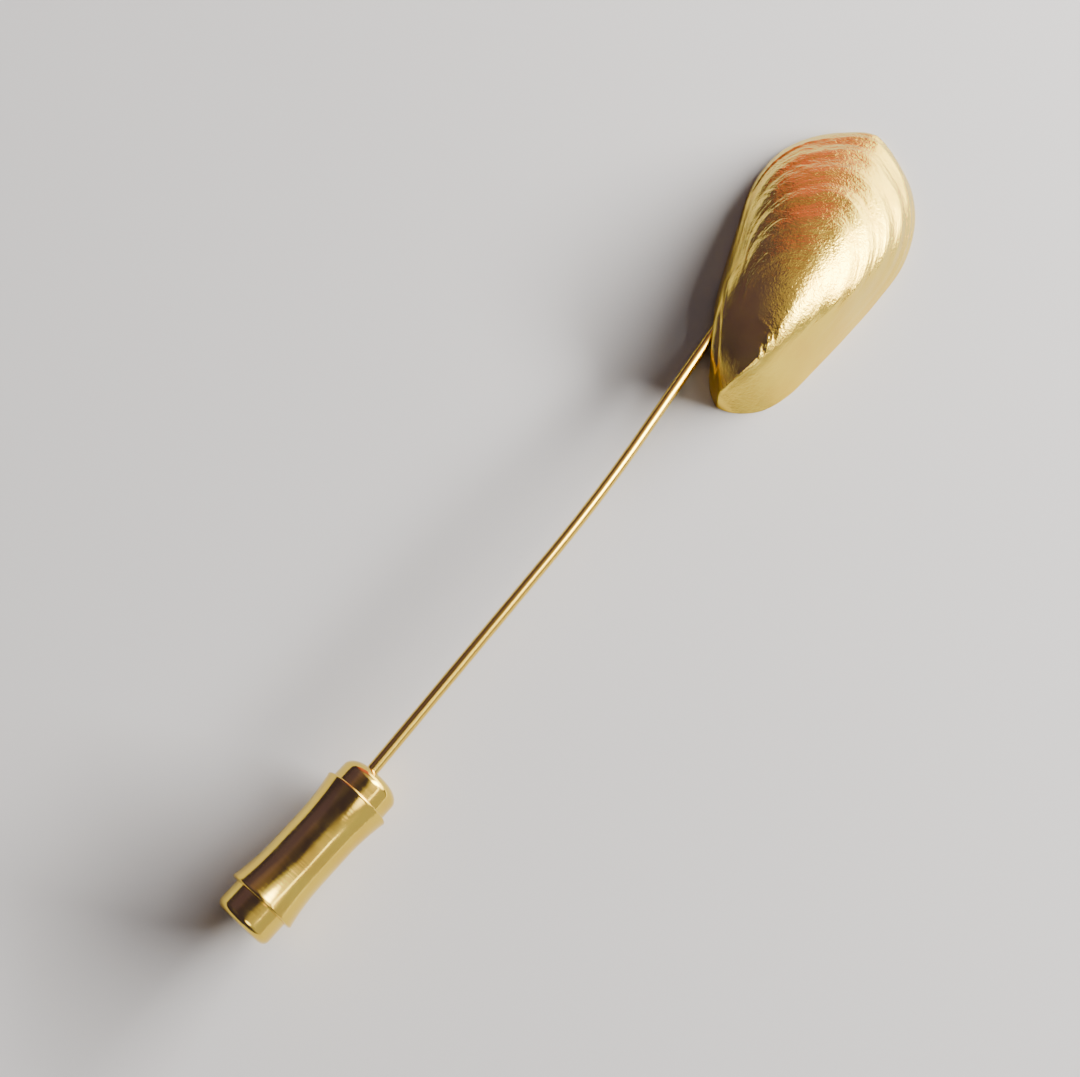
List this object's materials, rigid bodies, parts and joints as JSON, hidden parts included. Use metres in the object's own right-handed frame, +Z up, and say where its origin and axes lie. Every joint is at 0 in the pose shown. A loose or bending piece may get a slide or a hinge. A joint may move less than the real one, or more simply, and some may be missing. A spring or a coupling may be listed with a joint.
{
  "type": "stick pin",
  "caption": "Gold-plated stick pin: a hollow mussel shell head on a slightly bowed pin wire, with a waisted barrel clutch on the point.",
  "frame": {"origin": "middle of the whole pin's footprint, on the surface that it lies on", "axes": "+X along the straight part of the wire, from the clutch toward the shell; +Y to the shell's left side; +Z up"},
  "size_m": [0.0774, 0.0136, 0.0049],
  "materials": {
    "gold_shell": "gold plated, softly polished over cast growth lines",
    "gold_wire": "gold plated, polished drawn wire",
    "gold_clutch": "gold plated, bright polished"
  },
  "bodies": {
    "pin": {"shell": "gold_shell", "stem": "gold_wire"},
    "clutch": {"clutch_core": "gold_clutch"},
    "sleeve": {"clutch_sleeve": "gold_clutch"}
  },
  "joints": [
    {"name": "clutch_pull", "type": "slide", "parent": "pin", "child": "clutch", "axis": [-1, 0, 0], "range_m": [0, 0.012]},
    {"name": "sleeve_slide", "type": "slide", "parent": "clutch", "child": "sleeve", "axis": [-0.9986, 0.0523, 0], "range_m": [0, 0.001], "stiffness_N_per_m": 300}
  ]
}
